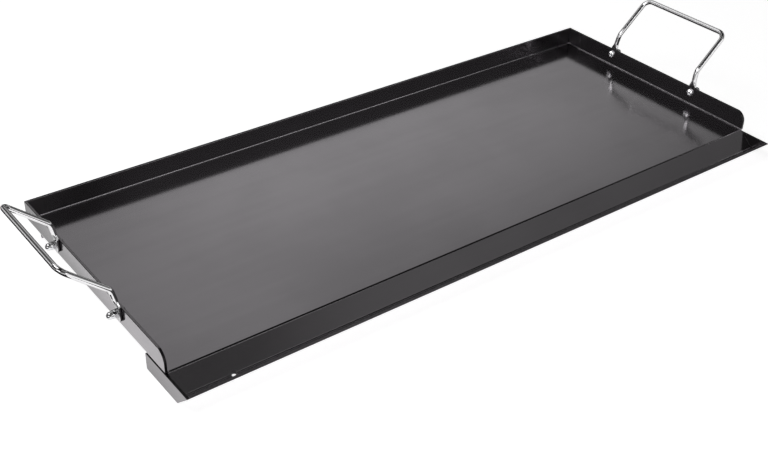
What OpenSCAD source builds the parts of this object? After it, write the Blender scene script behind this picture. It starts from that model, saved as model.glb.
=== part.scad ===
// Camp griddle plate: a folded sheet-steel griddle with three upstand walls, a
// V-shaped grease groove along the open front edge, welded end plates, a rear
// support rail and two bolted wire handles.
// Frame: X along the length, +Y towards the back wall, +Z up. The origin is on
// the surface the griddle stands on, under the centre of its footprint.

/* [Sheet] */
// Overall length of the griddle over its side walls
body_l = 813; // [500:1:900]
// Depth from the front bend line to the outside of the back wall
plate_d = 312; // [260:1:420]
// Thickness of the steel sheet
sheet_t = 2.7; // [2.2:0.1:3.2]
// Height of the walls, from the underside of the plate
wall_h = 25.5; // [22:0.5:40]
// Inside radius of the wall bends
bend_r = 1.6; // [1.2:0.1:4]
// Radius of the front top corner of each side wall
wall_corner_r = 13; // [3:0.5:14]
// Height of the plate's underside above the surface it stands on
stand_h = 18.8; // [17:0.1:24]

/* [Grease groove] */
// Run of the groove, from the front bend line to the tip of the lip
groove_run = 40.7; // [38:0.1:52]
// Fall of the groove's rear face below horizontal
groove_rear_a = 41; // [38:0.5:43]
// Rise of the groove's front face above horizontal
groove_front_a = 42.3; // [39:0.1:44]
// Diameter of the drain hole through the groove's bottom
drain_d = 6; // [6:0.5:10]
// Distance of the drain hole from the left end
drain_x = 60; // [30:1:200]

/* [Supports] */
// How far the end plates reach back under the plate
end_plate_back = 39; // [25:1:80]
// Thickness of the end plates
end_plate_t = 2.7; // [2:0.1:3.2]
// Gap between each end of the rear rail and the griddle's end
rail_inset = 8.8; // [7:0.1:60]
// Distance of the rear rail's upright from the outside of the back wall
rail_back = 10.3; // [9:0.1:40]
// Width of the rear rail's welded flange
rail_flange = 22; // [15:1:40]

/* [Handles] */
// Diameter of the handle wire
wire_d = 6; // [5:0.1:7]
// Distance between the two screws of one handle
screw_spacing = 140; // [100:1:180]
// Distance of a handle's middle behind the front bend line
handle_y = 157; // [130:1:180]
// Reach of the grip outside the wall
grip_reach = 51.5; // [40:0.5:60]
// Height of the grip above the plate's underside
grip_h = 85.2; // [70:0.1:95]
// Radius of the corners between the arms and the grip
grip_corner_r = 10; // [8:0.5:14]
// Width of the flattened ends of the wire
tab_w = 10; // [9:0.5:12]
// Thickness of the flattened ends of the wire
tab_t = 2.8; // [2.4:0.1:3]
// How far a flattened end reaches below its screw
tab_tail = 9.5; // [7:0.5:11]
// Angle at which the two legs of a handle lean towards each other
leg_lean = 4.5; // [0:0.5:6]

/* [Fasteners] */
// Height of the screws above the plate's underside
screw_h = 18; // [16.5:0.1:19]
// Nominal diameter of the screws
screw_d = 5; // [5:0.1:5]
// Diameter of the screw holes in the walls and tabs
hole_d = 5.6; // [5.3:0.1:5.8]

/* [Hidden] */

half_l = body_l / 2;
total_d = plate_d + groove_run;
y_back = total_d / 2;
y_lip = -total_d / 2;
y_bend = y_lip + groove_run;      // front bend line on the top surface
z_under = stand_h;
z_plate = stand_h + sheet_t;
z_top = stand_h + wall_h;
bend_ro = bend_r + sheet_t;       // outside radius of the wall bends
front_ri = 1.4;                   // radii of the two groove bends
groove_ri = 2.8;
edge_c = 0.4;                     // broken edge along the top of the walls
arc_n = 14;                       // steps in a quarter bend

black = [0.14, 0.14, 0.145];
chrome = [0.82, 0.83, 0.85];
zinc = [0.74, 0.75, 0.77];

// ---- helpers for bent sheet outlines ----
function unit(v) = v / norm(v);
function left_of(v) = [-v[1], v[0]];
function cross2(a, b) = a[0] * b[1] - a[1] * b[0];
function arc(c, r, a0, a1, n) = [for (i = [0:n]) c + r * [cos(a0 + (a1 - a0) * i / n), sin(a0 + (a1 - a0) * i / n)]];

// One side of a bent strip: the centre line p is offset by o to its left, and
// each inner corner becomes an arc whose centre-line radius is r[i].
function strip_side(p, r, o) = concat(
  [p[0] + left_of(unit(p[1] - p[0])) * o],
  [for (i = [1:len(p) - 2])
    let (d0 = unit(p[i] - p[i - 1]), d1 = unit(p[i + 1] - p[i]),
         turn = atan2(cross2(d0, d1), d0 * d1), s = sign(turn),
         tl = r[i] * tan(abs(turn) / 2),
         c = p[i] - d0 * tl + left_of(d0) * s * r[i],
         a0 = atan2(-s * left_of(d0)[1], -s * left_of(d0)[0]),
         n = max(4, ceil(abs(turn) / 90 * arc_n)))
    each arc(c, r[i] - s * o, a0, a0 + turn, n)],
  [p[len(p) - 1] + left_of(unit(p[len(p) - 1] - p[len(p) - 2])) * o]);
function reversed(l) = [for (i = [len(l) - 1:-1:0]) l[i]];
function strip(p, r, t) = concat(strip_side(p, r, t / 2), reversed(strip_side(p, r, -t / 2)));

// Convex outline with rounded corners; q is a list of [point, radius].
function rounded(q) = [for (i = [0:len(q) - 1])
  let (a = q[(i + len(q) - 1) % len(q)][0], b = q[i][0], e = q[(i + 1) % len(q)][0], r = q[i][1],
       d0 = unit(b - a), d1 = unit(e - b), turn = atan2(cross2(d0, d1), d0 * d1), s = sign(turn),
       c = b - d0 * r * tan(abs(turn) / 2) + left_of(d0) * s * r,
       a0 = atan2(-s * left_of(d0)[1], -s * left_of(d0)[0]))
  each (r > 0 ? arc(c, r, a0, a0 + turn, max(3, ceil(abs(turn) / 90 * arc_n))) : [b])];

// Extrudes an outline drawn in Y and Z along X, between x0 and x1.
module along_x(x0, x1) {
  translate([x0, 0, 0]) rotate([90, 0, 90]) linear_extrude(height = x1 - x0) children();
}
// Extrudes an outline drawn in X and Z along Y, between y0 and y1.
module along_y(y0, y1) {
  translate([0, y1, 0]) rotate([90, 0, 0]) linear_extrude(height = y1 - y0) children();
}
// Both screws of one side: local +X points out of the wall, X = 0 on its face.
module at_screws() {
  for (s = [-1, 1]) translate([half_l, y_bend + handle_y + s * screw_spacing / 2, z_under + screw_h]) children();
}
module at_side(side) {
  if (side > 0) children();
  else mirror([1, 0, 0]) children();
}

// ---- griddle body ----
// Centre line of the sheet through the front bend, the groove and the lip.
lip_mid = [y_lip, z_under] + (sheet_t / 2) * [sin(groove_front_a), cos(groove_front_a)];
bend_mid = [y_bend + sheet_t / 2 * tan(groove_rear_a / 2), z_under + sheet_t / 2];
dir_rear = [-cos(groove_rear_a), -sin(groove_rear_a)];
dir_front = [cos(groove_front_a), -sin(groove_front_a)];
fall = cross2(lip_mid - bend_mid, dir_front) / cross2(dir_rear, dir_front);
valley_mid = bend_mid + dir_rear * fall;
front_rm = front_ri + sheet_t / 2;
groove_rm = groove_ri + sheet_t / 2;
y_tangent = bend_mid[0] + front_rm * tan(groove_rear_a / 2);
groove_path = [[y_tangent + 3, z_under + sheet_t / 2], bend_mid, valley_mid, lip_mid];
groove_radii = [0, front_rm, groove_rm, 0];

module tray_outside() {
  intersection() {
    along_y(y_bend, y_back) polygon(rounded([
      [[-half_l, z_top - edge_c], 0], [[-half_l, z_under], bend_ro], [[half_l, z_under], bend_ro],
      [[half_l, z_top - edge_c], 0], [[half_l - edge_c, z_top], 0], [[-half_l + edge_c, z_top], 0]]));
    along_x(-half_l - 1, half_l + 1) polygon(rounded([
      [[y_bend, z_under], 0], [[y_back, z_under], bend_ro], [[y_back, z_top - edge_c], 0],
      [[y_back - edge_c, z_top], 0], [[y_bend, z_top], wall_corner_r]]));
  }
}
module tray_inside() {
  xi = half_l - sheet_t;
  yi = y_back - sheet_t;
  intersection() {
    along_y(y_bend - 5, y_back + 5) polygon(concat(rounded([
      [[-xi, z_top - edge_c], 0], [[-xi, z_plate], bend_r], [[xi, z_plate], bend_r],
      [[xi, z_top - edge_c], 0], [[xi + edge_c + 2, z_top + 2], 0], [[-xi - edge_c - 2, z_top + 2], 0]])));
    along_x(-half_l - 5, half_l + 5) polygon(rounded([
      [[y_bend - 5, z_plate], 0], [[yi, z_plate], bend_r], [[yi, z_top - edge_c], 0],
      [[yi + edge_c + 2, z_top + 2], 0], [[y_bend - 5, z_top + 2], 0]]));
  }
}
module griddle_body() {
  color(black) difference() {
    union() {
      difference() {
        tray_outside();
        tray_inside();
        // the plate gives way to the front bend between the side walls
        translate([-half_l + bend_ro, y_bend - 2, z_under - 1])
          cube([body_l - 2 * bend_ro, y_tangent + 2 - y_bend, sheet_t + 2]);
      }
      along_x(-half_l + end_plate_t, half_l - end_plate_t)
        polygon(strip(groove_path, groove_radii, sheet_t));
    }
    for (side = [-1, 1]) at_side(side) at_screws()
      translate([-sheet_t - 1, 0, 0]) rotate([0, 90, 0]) cylinder(d = hole_d, h = sheet_t + 2, $fn = 48);
    translate([-half_l + drain_x, valley_mid[0], -1]) cylinder(d = drain_d, h = z_under, $fn = 64);
  }
}

// ---- end plates: close the groove and carry the front ----
// their top edge meets the outside of the wall bend
end_rise = bend_ro - sqrt(pow(bend_ro, 2) - pow(bend_ro - end_plate_t, 2)) + 0.03;
end_top = z_under + end_rise;
module end_plate(side) {
  tip = end_rise / cos(groove_front_a);
  color(black) at_side(side) along_x(half_l - end_plate_t, half_l) polygon(rounded([
    [[y_bend + end_plate_back, end_top], 1],
    [[y_lip + tip * sin(groove_front_a), end_top], 0],
    [[y_lip, z_under], 0],
    [[y_lip + z_under / tan(groove_front_a), 0], 2.5],
    [[y_bend + end_plate_back, 0], 2]]));
}
module end_plate_left() { end_plate(-1); }
module end_plate_right() { end_plate(1); }

// ---- rear rail: a folded angle under the back of the plate ----
rail_t = 2.7;
module rear_rail() {
  y_up = y_back - rail_back - rail_t / 2;
  color(black) along_x(-half_l + rail_inset, half_l - rail_inset) polygon(strip([
    [y_up, 0], [y_up, z_under - rail_t / 2], [y_up + rail_t / 2 - rail_flange, z_under - rail_t / 2]],
    [0, 1.4 + rail_t / 2, 0], rail_t));
}

// ---- handles ----
wire_r = wire_d / 2;
leg_top = [5.8, 45.1];                 // bend of the leg, out of the wall and up
leg_low = [wire_r + 0.1, 33];          // where the wire is round again
tab_top = wall_h + 1;
arm_lean = 0.7;                        // lean of the arms above the bend, in degrees
lean_blend = 3;
leg_bend_r = 11;
grip_p = [grip_reach, grip_h];
leg_dir = unit(leg_top - leg_low);
arm_dir = unit(grip_p - leg_top);
leg_turn = acos(leg_dir * arm_dir);
leg_tl = leg_bend_r * tan(leg_turn / 2);

// The wire is swept ring by ring from one flattened end to the other. Local
// X = 0 is the wall's outer face, Z = 0 the plate's underside, Y = 0 the grip's
// middle. A frame is [centre, first axis, second axis] of one ring.
wire_n = 24;
leg_n = 7;
corner_n = 10;
end_y = -screw_spacing / 2;
function at_y(v, y) = [v[0], y, v[1]];
leg_out = [leg_dir[1], -leg_dir[0]];
leg_c = leg_top - leg_dir * leg_tl + leg_out * leg_bend_r;
corner_c = grip_p - arm_dir * grip_corner_r;
half_frames = concat(
  [[at_y(leg_low, end_y), at_y(left_of(leg_dir), 0), [0, 1, 0]]],
  [for (i = [0:leg_n]) let (t = leg_turn * i / leg_n, d = leg_dir * cos(t) + leg_out * sin(t))
    [at_y(leg_c + left_of(d) * leg_bend_r, end_y), at_y(left_of(d), 0), [0, 1, 0]]],
  [for (i = [0:corner_n]) let (t = 90 * i / corner_n, b = [0, cos(t), 0] - at_y(arm_dir, 0) * sin(t))
    [at_y(corner_c, end_y + grip_corner_r) - b * grip_corner_r, at_y(left_of(arm_dir), 0), b]]);
function ring(f) = [for (j = [0:wire_n - 1]) f[0] + wire_r * (f[1] * cos(360 * j / wire_n) + f[2] * sin(360 * j / wire_n))];
// Shift of the wire towards the handle's middle at height z.
function lean(z) = let (a = tan(leg_lean), b = tan(arm_lean), w = lean_blend, h = z - leg_top[1] + w)
  a * (min(z, leg_top[1] - w) - screw_h)
  + (h <= 0 ? 0 : h < 2 * w ? a * h + (b - a) * h * h / (4 * w) : (a + b) * w + b * (h - 2 * w));
half_rings = [for (f = half_frames) [for (v = ring(f)) v + [0, lean(v[2]), 0]]];
rings = concat(half_rings, [for (r = reversed(half_rings)) [for (v = r) [v[0], -v[1], v[2]]]]);

module wire() {
  last = len(rings) - 1;
  polyhedron(points = [for (r = rings) each r], faces = concat(
    [[for (j = [wire_n - 1:-1:0]) j]],
    [for (i = [0:last - 1], j = [0:wire_n - 1]) let (k = (j + 1) % wire_n)
      [i * wire_n + j, i * wire_n + k, (i + 1) * wire_n + k, (i + 1) * wire_n + j]],
    [[for (j = [0:wire_n - 1]) last * wire_n + j]]));
}
// One flattened end with its screw hole, and the taper up to the round wire.
module flat_end() {
  translate([0, end_y, screw_h]) rotate([-leg_lean, 0, 0]) translate([0, 0, -screw_h]) {
    difference() {
      union() {
        translate([0, -tab_w / 2, screw_h - tab_tail + tab_w / 2]) cube([tab_t, tab_w, tab_top - screw_h + tab_tail - tab_w / 2]);
        translate([0, 0, screw_h - tab_tail + tab_w / 2]) rotate([0, 90, 0]) cylinder(d = tab_w, h = tab_t, $fn = 64);
      }
      translate([-1, 0, screw_h]) rotate([0, 90, 0]) cylinder(d = hole_d, h = tab_t + 2, $fn = 48);
    }
    hull() {
      translate([0.05, -tab_w / 2 + 0.05, tab_top - 0.8]) cube([tab_t - 0.1, tab_w - 0.1, 0.8]);
      translate([leg_low[0], 0, leg_low[1]]) rotate([0, atan2(leg_dir[0], leg_dir[1]), 0])
        translate([0, 0, 0.1]) cylinder(r = wire_r - 0.15, h = 0.4, $fn = 24);
    }
  }
}
module handle(side) {
  color(chrome) at_side(side) translate([half_l, y_bend + handle_y, z_under]) {
    wire();
    flat_end();
    mirror([0, 1, 0]) flat_end();
  }
}
module handle_left() { handle(-1); }
module handle_right() { handle(1); }

// ---- fasteners: pan-head screws from the inside, cap nuts outside ----
head_d = 9.5;
head_h = 3.4;
washer_t = 1.2;
nut_x = tab_t + washer_t;
screw_l = 12;
module screw() {
  difference() {
    union() {
      translate([-sheet_t - head_h, 0, 0]) intersection() {
        rotate([0, 90, 0]) cylinder(d = head_d, h = head_h, $fn = 64);
        translate([6.6, 0, 0]) sphere(r = 6.6, $fn = 96);
      }
      translate([-sheet_t, 0, 0]) rotate([0, 90, 0]) cylinder(d = screw_d - 0.06, h = screw_l, $fn = 48);
    }
    for (a = [0, 90]) translate([-sheet_t - head_h, 0, 0]) rotate([a + 20, 0, 0])
      translate([-1, -2.5, -0.5]) cube([2.9, 5, 1]);
  }
}
module screws(side) { color(zinc) at_side(side) at_screws() screw(); }
module screws_left() { screws(-1); }
module screws_right() { screws(1); }

module lock_washer() {
  translate([tab_t, 0, 0]) difference() {
    rotate([0, 90, 0]) cylinder(d = 9.2, h = washer_t, $fn = 64);
    translate([-1, 0, 0]) rotate([0, 90, 0]) cylinder(d = 5.2, h = washer_t + 2, $fn = 48);
    rotate([35, 0, 0]) translate([-1, -0.4, 0]) cube([washer_t + 2, 0.8, 6]);
  }
}
module lock_washers(side) { color(zinc) at_side(side) at_screws() lock_washer(); }
module lock_washers_left() { lock_washers(-1); }
module lock_washers_right() { lock_washers(1); }

nut_af = 8;
nut_hex_h = 4;
dome_r = 3.75;
dome_x = 6.25;
module cap_nut() {
  translate([nut_x, 0, 0]) difference() {
    union() {
      intersection() {
        rotate([0, 90, 0]) cylinder(d = nut_af / cos(30), h = nut_hex_h, $fn = 6);
        translate([-2.2, 0, 0]) rotate([0, 90, 0]) cylinder(r1 = 7.6, r2 = 3.9, h = 6.4, $fn = 64);
      }
      rotate([0, 90, 0]) cylinder(r = dome_r, h = dome_x, $fn = 64);
      translate([dome_x, 0, 0]) sphere(r = dome_r, $fn = 96);
    }
    translate([-1, 0, 0]) rotate([0, 90, 0]) cylinder(d = screw_d, h = 8, $fn = 48);
  }
}
module cap_nuts(side) { color(zinc) at_side(side) at_screws() cap_nut(); }
module cap_nuts_left() { cap_nuts(-1); }
module cap_nuts_right() { cap_nuts(1); }

griddle_body();
end_plate_left();
end_plate_right();
rear_rail();
handle_left();
handle_right();
screws_left();
screws_right();
lock_washers_left();
lock_washers_right();
cap_nuts_left();
cap_nuts_right();
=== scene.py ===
import math
import bpy
from mathutils import Matrix, Vector, noise


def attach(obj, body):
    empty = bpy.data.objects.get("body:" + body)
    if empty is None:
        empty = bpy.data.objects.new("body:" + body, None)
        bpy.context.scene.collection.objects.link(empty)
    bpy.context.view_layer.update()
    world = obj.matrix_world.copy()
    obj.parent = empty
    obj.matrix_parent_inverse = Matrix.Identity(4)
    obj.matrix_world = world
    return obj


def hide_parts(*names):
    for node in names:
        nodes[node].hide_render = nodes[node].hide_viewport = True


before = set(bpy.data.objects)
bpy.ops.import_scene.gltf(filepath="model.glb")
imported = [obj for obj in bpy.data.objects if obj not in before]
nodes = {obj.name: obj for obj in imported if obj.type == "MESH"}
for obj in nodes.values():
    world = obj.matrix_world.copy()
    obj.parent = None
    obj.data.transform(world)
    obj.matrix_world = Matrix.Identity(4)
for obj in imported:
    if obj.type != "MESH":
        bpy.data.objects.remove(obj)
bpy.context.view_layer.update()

MM = 0.001
# the object's main lines, in mm, in the row frame
HALF_L, Y_BACK, Y_BEND, Y_LIP = 406.5, 176.35, -135.65, -176.35
UNDER, SHEET, WALL_TOP = 18.8, 2.7, 44.3
PLATE = UNDER + SHEET
REAR_A, FRONT_A = 41.0, 42.3            # slopes of the groove's two faces
VALLEY_Y, VALLEY_Z = -155.95, 4.8       # bottom of the groove, inside


# ---------------------------------------------------------------- materials
class Graph:
    """A small helper that adds shader nodes and links them."""

    def __init__(self, name):
        self.mat = bpy.data.materials.new(name)
        self.mat.use_nodes = True
        self.tree = self.mat.node_tree
        self.tree.nodes.clear()
        self.out = self.add("ShaderNodeOutputMaterial")
        self.bsdf = self.add("ShaderNodeBsdfPrincipled")
        self.tree.links.new(self.bsdf.outputs["BSDF"], self.out.inputs["Surface"])
        self.coord = self.add("ShaderNodeTexCoord").outputs["Object"]
        self._split = None
        self._normal = None

    def add(self, kind, **props):
        n = self.tree.nodes.new(kind)
        for k, v in props.items():
            setattr(n, k, v)
        return n

    def put(self, socket, value):
        if hasattr(value, "links"):
            self.tree.links.new(value, socket)
        else:
            socket.default_value = value

    def math(self, op, a, b=0.0, clamp=False):
        n = self.add("ShaderNodeMath", operation=op, use_clamp=clamp)
        self.put(n.inputs[0], a)
        self.put(n.inputs[1], b)
        return n.outputs[0]

    def many(self, op, first, *rest):
        for r in rest:
            first = self.math(op, first, r)
        return first

    def xyz(self, i):
        if self._split is None:
            s = self.add("ShaderNodeSeparateXYZ")
            self.put(s.inputs[0], self.coord)
            self._split = s.outputs
        return self._split[i]

    def facing(self, i):
        """One component of the surface's own normal."""
        if self._normal is None:
            s = self.add("ShaderNodeSeparateXYZ")
            self.put(s.inputs[0], self.add("ShaderNodeNewGeometry").outputs["True Normal"])
            self._normal = s.outputs
        return self._normal[i]

    def above(self, value, limit):
        return self.math("GREATER_THAN", value, limit)

    def below(self, value, limit):
        return self.math("LESS_THAN", value, limit)

    def size_of(self, value):
        return self.math("ABSOLUTE", value)

    def ramp(self, value, lo, hi, a=0.0, b=1.0, smooth=True):
        n = self.add("ShaderNodeMapRange", interpolation_type="SMOOTHSTEP" if smooth else "LINEAR")
        self.put(n.inputs["Value"], value)
        self.put(n.inputs["From Min"], lo)
        self.put(n.inputs["From Max"], hi)
        self.put(n.inputs["To Min"], a)
        self.put(n.inputs["To Max"], b)
        return n.outputs["Result"]

    def noise(self, scale, detail=3.0, rough=0.5, stretch=(1, 1, 1), distortion=0.0):
        m = self.add("ShaderNodeMapping")
        self.put(m.inputs["Vector"], self.coord)
        m.inputs["Scale"].default_value = stretch
        n = self.add("ShaderNodeTexNoise")
        self.put(n.inputs["Vector"], m.outputs["Vector"])
        n.inputs["Scale"].default_value = scale
        n.inputs["Detail"].default_value = detail
        n.inputs["Roughness"].default_value = rough
        n.inputs["Distortion"].default_value = distortion
        return n.outputs["Fac"]

    def mix(self, fac, a, b):
        n = self.add("ShaderNodeMix", data_type="RGBA")
        self.put(n.inputs["Factor"], fac)
        self.put(n.inputs[6], a)
        self.put(n.inputs[7], b)
        return n.outputs[2]

    def blend(self, fac, a, b):
        n = self.add("ShaderNodeMix", data_type="FLOAT")
        self.put(n.inputs["Factor"], fac)
        self.put(n.inputs[2], a)
        self.put(n.inputs[3], b)
        return n.outputs[0]

    def soft_edges(self, radius):
        n = self.add("ShaderNodeBevel", samples=6)
        n.inputs["Radius"].default_value = radius
        return n.outputs["Normal"]

    def bump(self, height, distance, strength=1.0, normal=None):
        n = self.add("ShaderNodeBump")
        n.inputs["Strength"].default_value = strength
        n.inputs["Distance"].default_value = distance
        self.put(n.inputs["Height"], height)
        if normal is not None:
            self.put(n.inputs["Normal"], normal)
        return n.outputs["Normal"]


def grey(v, tint=0.955):
    return (v, v * tint, v, 1)


def black_steel(name, part="body"):
    """Cold-rolled black steel under a thin film of oil. Sheared and cut edges are darker and duller,
    the lip and the tops of the end plates are worn to grey metal."""
    g = Graph(name)
    cloud = g.noise(7, 4, 0.55)
    roll = g.noise(55, 3, 0.6, stretch=(0.04, 1.0, 1.0))
    smear = g.noise(16, 3, 0.55, stretch=(0.7, 1.0, 1.0), distortion=1.6)
    tone = g.math("ADD", g.math("MULTIPLY", cloud, 0.7), g.math("MULTIPLY", roll, 0.3))
    face = g.mix(g.ramp(tone, 0.36, 0.64), grey(0.322), grey(0.352))
    r = g.ramp(smear, 0.3, 0.7, 0.135, 0.155)

    if part == "body":
        x, y, z = g.size_of(g.xyz(0)), g.xyz(1), g.xyz(2)
        nx, ny, nz = g.size_of(g.facing(0)), g.facing(1), g.facing(2)
        side = g.many("MULTIPLY", g.above(x, 0.40374), g.above(z, 0.0222), g.below(nx, 0.8))
        # walls are smoother than the plate, which is used
        r = g.math("MULTIPLY", r, g.ramp(g.size_of(nz), 0.2, 0.8, 0.75, 1.0))
        # next to the welded back corners the heat has left the walls duller; the darkening of their colour there is
        # painted shade in the corner
        reach = g.math("ADD", g.math("SUBTRACT", 0.4038, x), g.math("SUBTRACT", 0.1737, y))
        upright = g.math("MULTIPLY", g.below(g.size_of(nz), 0.3), g.above(z, 0.0234))
        near = g.math("MULTIPLY", g.ramp(reach, 0.012, 0.085, 1.0, 0.0), upright)
        r = g.blend(near, r, 0.28)
        # painted shade: the upright walls' colour is darkened towards the back corners
        painted_corner_shade = g.math("MULTIPLY", g.ramp(reach, 0.02, 0.16, 0.42, 0.0), upright)
        face = g.mix(painted_corner_shade, face, grey(0.0))
        top = g.math("MULTIPLY", g.above(z, 0.04386), g.above(nz, 0.9))
        cut = g.math("MAXIMUM", side, top)
        lip = g.many("MULTIPLY", g.below(y, -0.1740), g.below(ny, -0.4), g.above(nz, 0.3))
        hole = g.many("MULTIPLY", g.below(z, 0.0075), g.below(g.size_of(g.math("ADD", g.xyz(0), 0.3465)), 0.0036), g.below(nz, 0.6), g.above(nz, -0.6))
        cut = g.math("MAXIMUM", cut, hole)
        # painted shade: the outsides of the end walls are painted a little darker towards the back and the bottom
        outer = g.math("MULTIPLY", g.above(x, 0.4045), g.above(nx, 0.5))
        shade = g.ramp(z, 0.019, 0.044, 0.38, 0.68)
        shade = g.blend(g.ramp(y, -0.12, 0.06), 0.90, shade)
        face = g.mix(outer, face, g.mix(shade, grey(0.0), face))
        # painted highlight: the left wall's top edge is painted lighter than the others
        painted_edge_highlight = g.many("MULTIPLY", top, g.below(g.xyz(0), -0.4))
    elif part == "end_plate":
        nx = g.size_of(g.facing(0))
        cut = g.above(g.facing(2), 0.7)
        painted_edge_highlight = 0.0
        lip = g.math("MULTIPLY", g.below(nx, 0.6), g.math("SUBTRACT", 1.0, cut))
        # painted shade: the rear, lower part of the plate is painted darker
        y, z = g.xyz(1), g.xyz(2)
        along = g.ramp(g.math("ADD", y, g.math("MULTIPLY", cloud, 0.012)), -0.165, -0.100, 1.0, 0.0)
        up = g.ramp(z, 0.0, 0.019, 0.0, 1.0)
        face = g.mix(g.math("ADD", g.math("MULTIPLY", along, 0.6), g.math("MULTIPLY", up, 0.4)), grey(0.145), grey(0.215))
    else:
        nx = g.size_of(g.facing(0))
        cut = g.above(nx, 0.7)
        painted_edge_highlight = 0.0
        lip = 0.0
    scale = g.ramp(g.noise(700, 3, 0.7), 0.35, 0.65)
    color = g.mix(cut, face, g.mix(scale, grey(0.018), grey(0.045)))
    # painted highlight on the left wall's top edge
    color = g.mix(painted_edge_highlight, color, g.mix(scale, grey(0.26), grey(0.33)))
    color = g.mix(lip, color, g.mix(scale, grey(0.27), grey(0.34)))
    g.put(g.bsdf.inputs["Base Color"], color)
    g.bsdf.inputs["Metallic"].default_value = 1.0
    rr = g.blend(cut, r, g.ramp(scale, 0, 1, 0.32, 0.42))
    rr = g.blend(lip, rr, g.ramp(scale, 0, 1, 0.15, 0.20))
    g.put(g.bsdf.inputs["Roughness"], rr)
    n = g.soft_edges(0.0006)
    n = g.bump(roll, 0.00002, 0.06, n)
    g.put(g.bsdf.inputs["Normal"], n)
    return g.mat


def weld_metal(name):
    """Deposited weld metal, blued by heat, under the same oil."""
    g = Graph(name)
    heat = g.noise(260, 3, 0.6)
    pore = g.noise(1600, 2, 0.7)
    g.put(g.bsdf.inputs["Base Color"], g.mix(g.ramp(heat, 0.35, 0.65), (0.045, 0.044, 0.049, 1), (0.09, 0.085, 0.088, 1)))
    g.bsdf.inputs["Metallic"].default_value = 1.0
    g.put(g.bsdf.inputs["Roughness"], g.ramp(pore, 0.3, 0.7, 0.2, 0.36))
    g.put(g.bsdf.inputs["Normal"], g.bump(pore, 0.00003, 0.4))
    return g.mat


def chrome(name):
    """Bright plated wire: light haze, hairline handling marks and a dark rim where the plating is seen edge-on."""
    g = Graph(name)
    haze = g.noise(35, 3, 0.6)
    mark = g.noise(420, 2, 0.7)
    hair = g.noise(120, 2, 0.8, stretch=(1, 6, 6), distortion=0.4)
    plated = g.mix(g.ramp(haze, 0.35, 0.65), (0.80, 0.795, 0.805, 1), (0.88, 0.875, 0.885, 1))
    # painted reflection: the edges of the flattened ends are painted dark, standing in for the dark surroundings they
    # reflect
    painted_dark_edge = g.math("MULTIPLY", g.below(g.xyz(2), 0.0445), g.above(g.size_of(g.facing(1)), 0.55))
    g.put(g.bsdf.inputs["Base Color"], g.mix(painted_dark_edge, plated, g.mix(g.ramp(mark, 0.35, 0.65), grey(0.03), grey(0.08))))
    g.bsdf.inputs["Metallic"].default_value = 1.0
    g.bsdf.inputs["Specular Tint"].default_value = (0.40, 0.40, 0.40, 1)
    rough = g.ramp(mark, 0.35, 0.75, 0.05, 0.11)
    rough = g.math("ADD", rough, g.ramp(hair, 0.68, 0.74, 0.0, 0.08))
    g.put(g.bsdf.inputs["Roughness"], rough)
    g.put(g.bsdf.inputs["Normal"], g.bump(haze, 0.00004, 0.10))
    return g.mat


def zinc(name):
    """Zinc-plated fasteners: slightly cloudy, with the marks of the driver and the socket."""
    g = Graph(name)
    spangle = g.noise(300, 3, 0.6)
    haze = g.noise(90, 2, 0.5)
    g.put(g.bsdf.inputs["Base Color"], g.mix(g.ramp(haze, 0.35, 0.65), (0.78, 0.785, 0.80, 1), (0.90, 0.90, 0.91, 1)))
    g.bsdf.inputs["Metallic"].default_value = 1.0
    g.bsdf.inputs["Specular Tint"].default_value = (0.3, 0.3, 0.3, 1)
    g.put(g.bsdf.inputs["Roughness"], g.ramp(spangle, 0.3, 0.7, 0.09, 0.17))
    n = g.soft_edges(0.0003)
    g.put(g.bsdf.inputs["Normal"], g.bump(spangle, 0.00001, 0.2, n))
    return g.mat


STEEL = black_steel("black_steel")
END_STEEL = black_steel("black_steel_end", "end_plate")
RAIL_STEEL = black_steel("black_steel_rail", "rail")
WELD = weld_metal("weld_metal")
CHROME = chrome("chromed_wire")
ZINC = zinc("zinc_fasteners")


def dress(obj, mat):
    obj.data.materials.clear()
    obj.data.materials.append(mat)


dress(nodes["griddle_body"], STEEL)
dress(nodes["rear_rail"], RAIL_STEEL)
for side in ("left", "right"):
    dress(nodes[f"end_plate_{side}"], END_STEEL)
    dress(nodes[f"handle_{side}"], CHROME)
    for kind in ("screws", "lock_washers", "cap_nuts"):
        dress(nodes[f"{kind}_{side}"], ZINC)


# ---------------------------------------------------------------- mesh pieces
def mesh_piece(name, verts, faces, mat, flat_from=None):
    me = bpy.data.meshes.new(name)
    me.from_pydata([tuple(c * MM for c in v) for v in verts], [], faces)
    me.validate()
    me.materials.append(mat)
    for i, p in enumerate(me.polygons):
        p.use_smooth = flat_from is None or i < flat_from
    o = bpy.data.objects.new(name, me)
    bpy.context.scene.collection.objects.link(o)
    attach(o, "root")
    return o


def skin(rings):
    """Vertices and faces of a closed tube through rings of equal point counts. The last two faces are its caps."""
    n = len(rings[0])
    verts = [v for r in rings for v in r]
    faces = [(i * n + j, i * n + (j + 1) % n, (i + 1) * n + (j + 1) % n, (i + 1) * n + j)
             for i in range(len(rings) - 1) for j in range(n)]
    faces.append(tuple(range(n - 1, -1, -1)))
    faces.append(tuple((len(rings) - 1) * n + j for j in range(n)))
    return verts, faces


# ---- handles: one wire, flattened and pierced at both ends ----
WIRE_R, SCREW_H, TAIL, LEAN = 2.985, 18.0, 9.5, math.radians(4.5)
HANDLE_Y = Y_BEND + 157.0
END_Y = -70.0
AROUND = 48


def smoothstep(a, b, t):
    t = min(1.0, max(0.0, (t - a) / (b - a)))
    return t * t * (3 - 2 * t)


def wire_lean(z):
    """Shift of the wire towards the handle's middle at height z above the plate's underside."""
    a, b, w = math.tan(LEAN), math.tan(math.radians(0.7)), 3.0
    h = z - 45.1 + w
    base = a * (min(z, 45.1 - w) - SCREW_H)
    if h <= 0:
        return base
    return base + (a * h + (b - a) * h * h / (4 * w) if h < 2 * w else (a + b) * w + b * (h - 2 * w))


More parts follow.
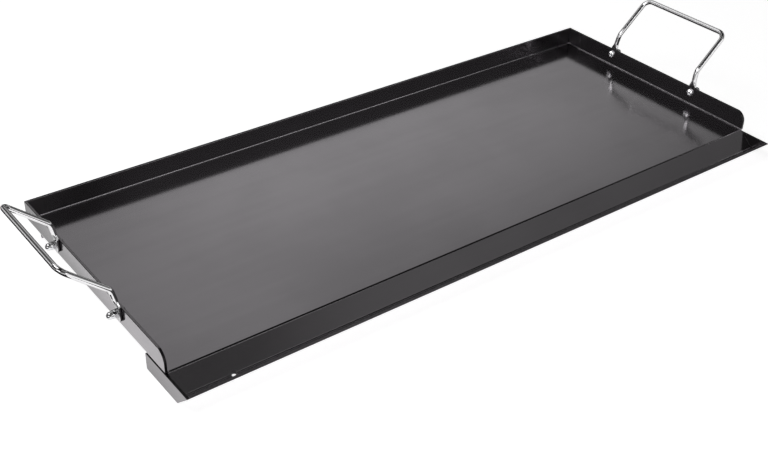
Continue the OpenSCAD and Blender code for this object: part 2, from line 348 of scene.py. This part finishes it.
def section(centre, axis_a, axis_b, half_a, half_b, power):
    """A ring between a round wire (power 2) and a flattened, rounded bar (power 5 and more)."""
    ring = []
    for j in range(AROUND):
        t = 2 * math.pi * j / AROUND
        c, s = math.cos(t), math.sin(t)
        u = math.copysign(abs(c) ** (2 / power), c) * half_a
        v = math.copysign(abs(s) ** (2 / power), s) * half_b
        ring.append(centre + axis_a * u + axis_b * v)
    return ring


def handle(side):
    # plane coordinates: (outwards from the wall, up)
    low, bend, grip = Vector((3.1, 33.0)), Vector((5.8, 45.1)), Vector((51.5, 85.2))
    d0, d1 = (bend - low).normalized(), (grip - bend).normalized()
    turn = d0.angle(d1)
    radius, corner = 11.0, 10.0
    tl = radius * math.tan(turn / 2)
    out = Vector((d0.y, -d0.x))

    def at(v, y):
        return Vector((v.x, y, v.y))

    half = []
    yy = Vector((0, 1, 0))
    # flattened end: from the round tip of the tab up to its shoulder
    bottom = SCREW_H - TAIL
    for i in range(13):
        t = math.pi / 2 * i / 12
        h = 5.0 * (1 - math.cos(t))
        w = 5.0 * math.sin(t)
        edge = 0.72 + 0.28 * min(1.0, w / 1.6)
        half.append(section(at(Vector((1.4, bottom + h)), END_Y), Vector((1, 0, 0)), yy, 1.38 * edge, max(w, 0.25), 6.0))
    for z in (16.0, 18.0, 20.0, 22.5, 24.5):
        half.append(section(at(Vector((1.4, z)), END_Y), Vector((1, 0, 0)), yy, 1.38, 5.0, 6.0))
    # the shoulder draws in to the round wire
    for i in range(1, 11):
        z = 24.5 + (33.0 - 24.5) * i / 10
        s = smoothstep(25.0, 33.0, z)
        x = 1.4 + (3.1 - 1.4) * smoothstep(25.0, 33.5, z)
        half.append(section(at(Vector((x, z)), END_Y), Vector((1, 0, 0)), yy,
                            1.38 + (WIRE_R - 1.38) * s, 4.98 + (WIRE_R - 4.98) * smoothstep(25.5, 32.0, z), 6.0 - 4.0 * s ** 0.7))
    # leg, its bend, the arm and the corner at the grip
    start = bend - d0 * tl
    for i in range(1, 4):
        half.append(section(at(low + (start - low) * i / 4, END_Y), at(Vector((d0.y, -d0.x)), 0), yy, WIRE_R, WIRE_R, 2.0))
    c0 = start + out * radius
    for i in range(13):
        t = turn * i / 12
        d = d0 * math.cos(t) + out * math.sin(t)
        o = Vector((d.y, -d.x))
        half.append(section(at(c0 - o * radius, END_Y), at(o, 0), yy, WIRE_R, WIRE_R, 2.0))
    o1 = Vector((d1.y, -d1.x))
    arm0, arm1 = c0 - o1 * radius, grip - d1 * corner
    for i in range(1, 6):
        half.append(section(at(arm0 + (arm1 - arm0) * i / 6, END_Y), at(o1, 0), yy, WIRE_R, WIRE_R, 2.0))
    centre = at(arm1, END_Y + corner)
    for i in range(17):
        t = math.pi / 2 * i / 16
        b = yy * math.cos(t) - at(d1, 0) * math.sin(t)
        half.append(section(centre - b * corner, at(o1, 0), b, WIRE_R, WIRE_R, 2.0))
    for ring in half:
        for v in ring:
            v.y += wire_lean(v.z)
    # the tab turns about its screw, so its own tilt keeps its length
    other = [[Vector((v.x, -v.y, v.z)) for v in ring] for ring in reversed(half)]
    middle = []
    a, b = half[-1], other[0]
    for k in range(1, 8):
        middle.append([a[j].lerp(b[j], k / 8) for j in range(AROUND)])
    rings = half + middle + other
    verts, faces = skin(rings)
    verts = [(side * (HALF_L + v[0]), HANDLE_Y + v[1], UNDER + v[2]) for v in verts]
    if side > 0:
        faces = [tuple(reversed(f)) for f in faces]
    return verts, faces


def pierce(obj, side):
    """Cuts the two screw holes through the flattened ends."""
    for s in (-1, 1):
        n, r = 48, 2.8
        y0, z0 = HANDLE_Y + s * 70.0, UNDER + SCREW_H
        x0, x1 = side * (HALF_L - 1), side * (HALF_L + 5)
        rings = [[(x, y0 + r * math.cos(2 * math.pi * j / n), z0 + r * math.sin(2 * math.pi * j / n)) for j in range(n)] for x in (x0, x1)]
        verts, faces = skin(rings)
        me = bpy.data.meshes.new("drill")
        me.from_pydata([tuple(c * MM for c in v) for v in verts], [], faces if side < 0 else [tuple(reversed(f)) for f in faces])
        drill = bpy.data.objects.new("drill", me)
        bpy.context.scene.collection.objects.link(drill)
        m = obj.modifiers.new("hole", "BOOLEAN")
        m.operation, m.object, m.solver = "DIFFERENCE", drill, "EXACT"
        bpy.context.view_layer.update()
        done = bpy.data.meshes.new_from_object(obj.evaluated_get(bpy.context.evaluated_depsgraph_get()))
        obj.modifiers.clear()
        old = obj.data
        obj.data = done
        bpy.data.meshes.remove(old)
        bpy.data.objects.remove(drill)
        bpy.data.meshes.remove(me)


bright_pieces = [nodes[f"{kind}_{side}"] for kind in ("screws", "lock_washers", "cap_nuts") for side in ("left", "right")]
for side, name in ((-1, "left"), (1, "right")):
    verts, faces = handle(side)
    piece = mesh_piece(f"wire_handle_{name}", verts, faces, CHROME)
    pierce(piece, side)
    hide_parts(f"handle_{name}")
    bright_pieces.append(piece)


# ---- weld beads ----
def bead(name, path, radius, pitch=2.2, seed=0.0, squash=1.0):
    """A rippled bead along a line of points: overlapping drops, a little uneven, with drawn-in ends."""
    pts = [Vector(p) for p in path]
    lengths = [(b - a).length for a, b in zip(pts, pts[1:])]
    total = sum(lengths)
    steps = max(12, int(total / (pitch / 5)))

    def point(s):
        for a, b, l in zip(pts, pts[1:], lengths):
            if s <= l:
                return a.lerp(b, s / l), (b - a).normalized()
            s -= l
        return pts[-1].copy(), (pts[-1] - pts[-2]).normalized()

    rings = []
    for i in range(steps + 1):
        s = total * i / steps
        c, d = point(s)
        ref = Vector((0, 0, 1)) if abs(d.z) < 0.9 else Vector((1, 0, 0))
        u = d.cross(ref).normalized()
        v = d.cross(u).normalized()
        drop = abs(math.sin(math.pi * s / pitch))
        wob = noise.noise(Vector((s * 0.35, seed, 1.7)))
        r = radius * (0.80 + 0.20 * drop ** 0.6) * (1 + 0.16 * wob)
        e = min(s, total - s)
        r *= math.sqrt(max(0.02, 1 - (1 - min(1.0, e / (radius * 1.3))) ** 2))
        rings.append([c + (u * math.cos(a) + v * math.sin(a) * squash) * r for a in (2 * math.pi * j / 12 for j in range(12))])
    verts, faces = skin(rings)
    return mesh_piece(name, verts, faces, WELD)


def groove_line(x, lift):
    """Points just above the groove's inner faces at one end, from the front bend to the lip."""
    ta, tb = math.tan(math.radians(REAR_A)), math.tan(math.radians(FRONT_A))
    top_y = Y_BEND - 1.5
    return [(x, top_y, VALLEY_Z + (top_y - VALLEY_Y) * ta * 0.93 + lift),
            (x, VALLEY_Y + 3.0, VALLEY_Z + 3.0 * ta * 0.75 + lift), (x, VALLEY_Y, VALLEY_Z + 0.6 + lift),
            (x, VALLEY_Y - 3.0, VALLEY_Z + 3.0 * tb * 0.75 + lift), (x, Y_LIP + 4.2, PLATE - 2.6 + lift)]


INNER_X = HALF_L - SHEET
for side, name in ((-1, "left"), (1, "right")):
    bead(f"weld_groove_{name}", groove_line(side * (INNER_X - 0.05), 0.0), 0.5, 1.4, seed=3.1 * side)
    bead(f"weld_under_{name}", [(side * (INNER_X - 0.35), Y_BEND + 4, UNDER + 0.1), (side * (INNER_X - 0.35), Y_BEND + 37, UNDER + 0.1)], 1.35, 2.6, seed=5.7 * side)
    bead(f"weld_corner_{name}", [(side * (INNER_X - 0.1), Y_BACK - SHEET - 0.1, PLATE + 1.6), (side * (INNER_X - 0.1), Y_BACK - SHEET - 0.1, WALL_TOP - 1.6)], 0.9, 2.0, seed=8.3 * side)
RAIL_FRONT = Y_BACK - 10.3 - 22.0
for i, x in enumerate((-360, -180, 0, 180, 360)):
    bead(f"weld_rail_{i + 1}", [(x - 14, RAIL_FRONT - 0.15, UNDER - 0.55), (x + 14, RAIL_FRONT - 0.15, UNDER - 0.55)], 1.35, 2.6, seed=1.3 * i)


# ---------------------------------------------------------------- stage
def floor_material():
    m = bpy.data.materials.new("studio_floor")
    m.use_nodes = True
    t = m.node_tree
    t.nodes.clear()
    e = t.nodes.new("ShaderNodeEmission")
    e.inputs["Strength"].default_value = 0.80
    d = t.nodes.new("ShaderNodeBsdfDiffuse")
    d.inputs["Color"].default_value = (0.8, 0.8, 0.8, 1)
    a = t.nodes.new("ShaderNodeAddShader")
    o = t.nodes.new("ShaderNodeOutputMaterial")
    t.links.new(e.outputs[0], a.inputs[0])
    t.links.new(d.outputs[0], a.inputs[1])
    t.links.new(a.outputs[0], o.inputs[0])
    return m


def sheet_object(name, points, mat):
    me = bpy.data.meshes.new(name)
    me.from_pydata(points, [], [tuple(range(len(points)))])
    o = bpy.data.objects.new(name, me)
    bpy.context.scene.collection.objects.link(o)
    me.materials.append(mat)
    return o


floor = sheet_object("studio_floor", [(-8, -8, -0.0005), (8, -8, -0.0005), (8, 8, -0.0005), (-8, 8, -0.0005)], floor_material())


def area(name, at, to, size, radiance):
    light = bpy.data.lights.new(name, "AREA")
    light.shape = "RECTANGLE"
    light.size, light.size_y = size
    light.energy = radiance * size[0] * size[1] * math.pi
    o = bpy.data.objects.new(name, light)
    bpy.context.scene.collection.objects.link(o)
    o.location = at
    o.rotation_mode = "QUATERNION"
    o.rotation_quaternion = (Vector(to) - Vector(at)).to_track_quat("-Z", "Y")
    return o


def graded(lamp, stops_x, stops_y=None, evened=None):
    """Lets a panel fall off smoothly across its own width (world X) and depth (world Y); the fall-off in
    depth fades out towards the first of the two widths given as evened."""
    light = lamp.data
    light.use_nodes = True
    t = light.node_tree
    e = t.nodes["Emission"]
    sep = t.nodes.new("ShaderNodeSeparateXYZ")
    t.links.new(t.nodes.new("ShaderNodeNewGeometry").outputs["Position"], sep.inputs[0])

    def step(axis, p0, p1, v0, v1):
        m = t.nodes.new("ShaderNodeMapRange")
        m.interpolation_type = "SMOOTHSTEP"
        t.links.new(sep.outputs[axis], m.inputs["Value"])
        for key, v in (("From Min", p0), ("From Max", p1), ("To Min", v0), ("To Max", v1)):
            m.inputs[key].default_value = v
        return m.outputs["Result"]

    def calc(op, a, b):
        n = t.nodes.new("ShaderNodeMath")
        n.operation = op
        for socket, v in zip(n.inputs, (a, b)):
            if hasattr(v, "links"):
                t.links.new(v, socket)
            else:
                socket.default_value = v
        return n.outputs[0]

    def curve(axis, stops):
        total = stops[0][1]
        for (p0, v0), (p1, v1) in zip(stops, stops[1:]):
            total = calc("ADD", total, step(axis, p0, p1, 0.0, v1 - v0))
        return total

    value = curve(0, stops_x)
    if stops_y:
        fall = curve(1, stops_y)
        if evened:
            k = step(0, evened[0], evened[1], 0.0, 1.0)
            fall = calc("ADD", calc("MULTIPLY", fall, k), calc("SUBTRACT", 1.0, k))
        value = calc("MULTIPLY", value, fall)
    t.links.new(value, e.inputs["Strength"])


# a large soft panel behind and to the right: the plate shows it
main = area("panel_back_right", (1.60, 2.09, 1.5), (1.60, 2.09, 0.0), (3.4, 1.84), 1.0)
graded(main, ((0.25, 0.34), (1.1, 0.535), (1.6, 0.525), (2.9, 0.39)), ((1.15, 0.40), (2.2, 1.0)), (0.35, 1.15))
# in front and to the right, dim: the groove's rear face and the lip show it
front = area("panel_front", (1.35, -1.55, 1.5), (1.35, -1.55, 0.0), (2.9, 1.4), 1.0)
graded(front, ((0.45, 0.065), (0.80, 0.155), (1.10, 0.150), (1.60, 0.104), (2.5, 0.082)), ((-2.15, 0.25), (-1.65, 1.0)))
# a narrow strip beside it: the groove's rear face shows it just below the bend
strip = area("panel_strip", (1.35, -0.74, 1.5), (1.35, -0.74, 0.0), (2.6, 0.22), 1.0)
graded(strip, ((0.35, 0.75), (1.0, 0.28), (2.4, 0.15)))
# a short one to the right: the bend shows it at its right end
area("panel_right_end", (2.30, 0.05, 1.5), (2.30, 0.05, 0.0), (0.66, 0.36), 1.2)
# low in front on the right: the back fold and the lip show it as a thin line
low = area("panel_front_low", (1.70, -2.60, 0.75), (1.70, 0.0, 0.75), (3.0, 0.50), 1.0)
graded(low, ((0.2, 2.0), (1.6, 1.9), (3.0, 0.8)))
# overhead on the left: the wire, the screw heads and the right fold show it
area("panel_left", (-0.70, 1.10, 1.5), (-0.70, 1.10, 0.0), (0.36, 0.9), 2.1)
area("panel_left_front", (-0.80, 0.15, 1.5), (-0.80, 0.15, 0.0), (1.0, 0.95), 2.0)
# low behind on the left: the screw heads and the left wall's edge show it
area("panel_left_back", (-1.78, 2.15, 0.80), (0.2, 0.0, 0.03), (1.5, 0.50), 0.9)
# from the left front, beside the camera: the wire and the nuts show it
area("panel_front_left", (-2.2, -1.2, 0.80), (0.0, 0.0, 0.0), (1.3, 0.8), 2.0)



# these reach the bright metal only, as small cards held close to it would
def only_for(lamp, pieces):
    group = bpy.data.collections.new(lamp.name)
    for o in pieces:
        group.objects.link(o)
    lamp.light_linking.receiver_collection = group


only_for(area("card_overhead", (0.30, 1.02, 1.5), (0.30, 1.02, 0.0), (1.8, 0.40), 0.72), bright_pieces)
only_for(area("card_left_front", (-0.95, -1.10, 1.5), (0.43, 0.0, 0.06), (1.3, 1.0), 3.5),
         [o for o in bright_pieces if o.name in ("wire_handle_right", "screws_right")])
only_for(area("card_left_high", (-2.10, 1.90, 1.35), (0.40, 0.0, 0.04), (2.6, 1.5), 4.2), [nodes["screws_left"], nodes["screws_right"]])


def flag(name, x0, x1, y0, y1):
    """A dark card lying on the floor, out of the camera's sight, that the metal reflects in place of the white floor;
    near the griddle it stands in for shade on the floor. The bright wire gets its dark lines from it.
    """
    m = bpy.data.materials.new(name)
    m.use_nodes = True
    b = m.node_tree.nodes["Principled BSDF"]
    b.inputs["Base Color"].default_value = (0.02, 0.02, 0.02, 1)
    b.inputs["Roughness"].default_value = 0.9
    o = sheet_object(name, [(x0, y0, 0.0002), (x1, y0, 0.0002), (x1, y1, 0.0002), (x0, y1, 0.0002)], m)
    o.visible_camera = False
    o.visible_diffuse = False
    o.visible_shadow = False


flag("flag_left", -1.7, -0.458, -0.45, 1.6)
flag("flag_back", -0.34, 0.410, 0.32, 1.6)
flag("flag_right", 0.418, 1.5, -0.12, 0.9)
# flag_under lies where only the plate's shade falls: a dark card put in place of that shade
flag("flag_under", 0.33, 0.418, -0.12, 0.155)

world = bpy.data.worlds.new("studio")
bpy.context.scene.world = world
world.use_nodes = True
wt = world.node_tree
back = wt.nodes["Background"]
sep = wt.nodes.new("ShaderNodeSeparateXYZ")
wt.links.new(wt.nodes.new("ShaderNodeTexCoord").outputs["Generated"], sep.inputs[0])


def sky(p0, p1, v0, v1):
    m = wt.nodes.new("ShaderNodeMapRange")
    m.interpolation_type = "SMOOTHSTEP"
    wt.links.new(sep.outputs[2], m.inputs["Value"])
    for key, v in (("From Min", p0), ("From Max", p1), ("To Min", v0), ("To Max", v1)):
        m.inputs[key].default_value = v
    return m.outputs["Result"]


# bright at the horizon, dim above it, dark overhead
total = wt.nodes.new("ShaderNodeMath")
total.operation = "ADD"
wt.links.new(sky(0.05, 0.24, 0.40, 0.072), total.inputs[0])
wt.links.new(sky(0.62, 0.78, 0.0, -0.053), total.inputs[1])
wt.links.new(total.outputs[0], back.inputs["Strength"])
back.inputs["Color"].default_value = (1, 1, 1, 1)

scene = bpy.context.scene
scene.view_settings.view_transform = "Standard"
scene.view_settings.look = "None"


# ---------------------------------------------------------------- camera
def camera():
    az, el, roll, focal = -37.82, 33.75, 1.67, 1178.67   # focal length in pixels of a 768 wide frame
    a, e, r = map(math.radians, (az, el, roll))
    back = Vector((math.sin(a) * math.cos(e), -math.cos(a) * math.cos(e), math.sin(e)))
    right = (-back).cross(Vector((0, 0, 1))).normalized()
    up = right.cross(-back)
    right, up = (math.cos(r) * right + math.sin(r) * up, -math.sin(r) * right + math.cos(r) * up)
    data = bpy.data.cameras.new("camera")
    data.sensor_fit = "HORIZONTAL"
    data.sensor_width = 36.0
    data.lens = 36.0 * focal / 768
    data.clip_start, data.clip_end = 0.05, 50
    o = bpy.data.objects.new("camera", data)
    bpy.context.scene.collection.objects.link(o)
    m = Matrix((right, up, back)).transposed().to_4x4()
    m.translation = Vector((-752.24, -898.89, 725.98)) * MM
    o.matrix_world = m
    return o


scene.camera = camera()
